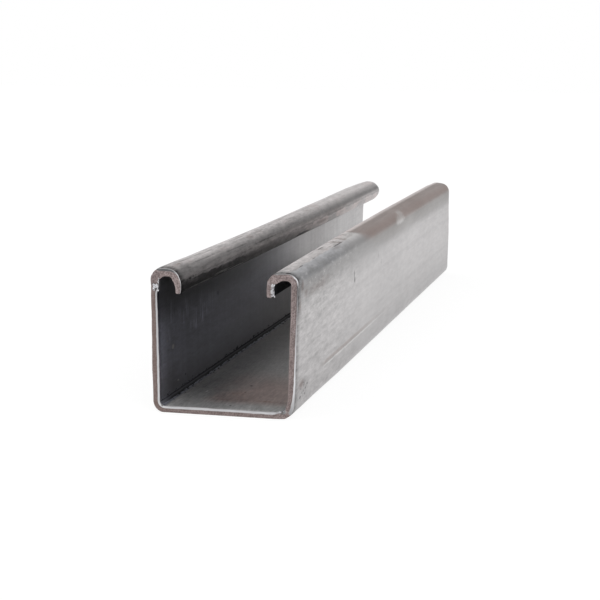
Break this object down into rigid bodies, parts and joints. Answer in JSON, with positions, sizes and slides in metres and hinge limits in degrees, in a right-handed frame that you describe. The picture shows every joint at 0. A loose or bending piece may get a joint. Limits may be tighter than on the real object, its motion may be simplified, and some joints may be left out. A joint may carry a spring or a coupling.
{
  "type": "steel strut channel",
  "caption": "Plain back steel strut channel: square section open along one side, edges turned in as lips that hold a channel nut.",
  "frame": {"origin": "under the middle of the back, halfway along the length, on the surface that the channel lies on", "axes": "+Y along the length, away from the sprung front end; +Z from the back of the channel up to its slot; +X across the section"},
  "size_m": [0.0428, 0.3048, 0.0413],
  "materials": {
    "mill_steel": "bare cold-rolled steel as it comes from the mill: dull grey, cloudy, scuffed and lightly stained, with bright sheared ends"
  },
  "bodies": {
    "root": {"strut_channel": "mill_steel"}
  },
  "joints": []
}
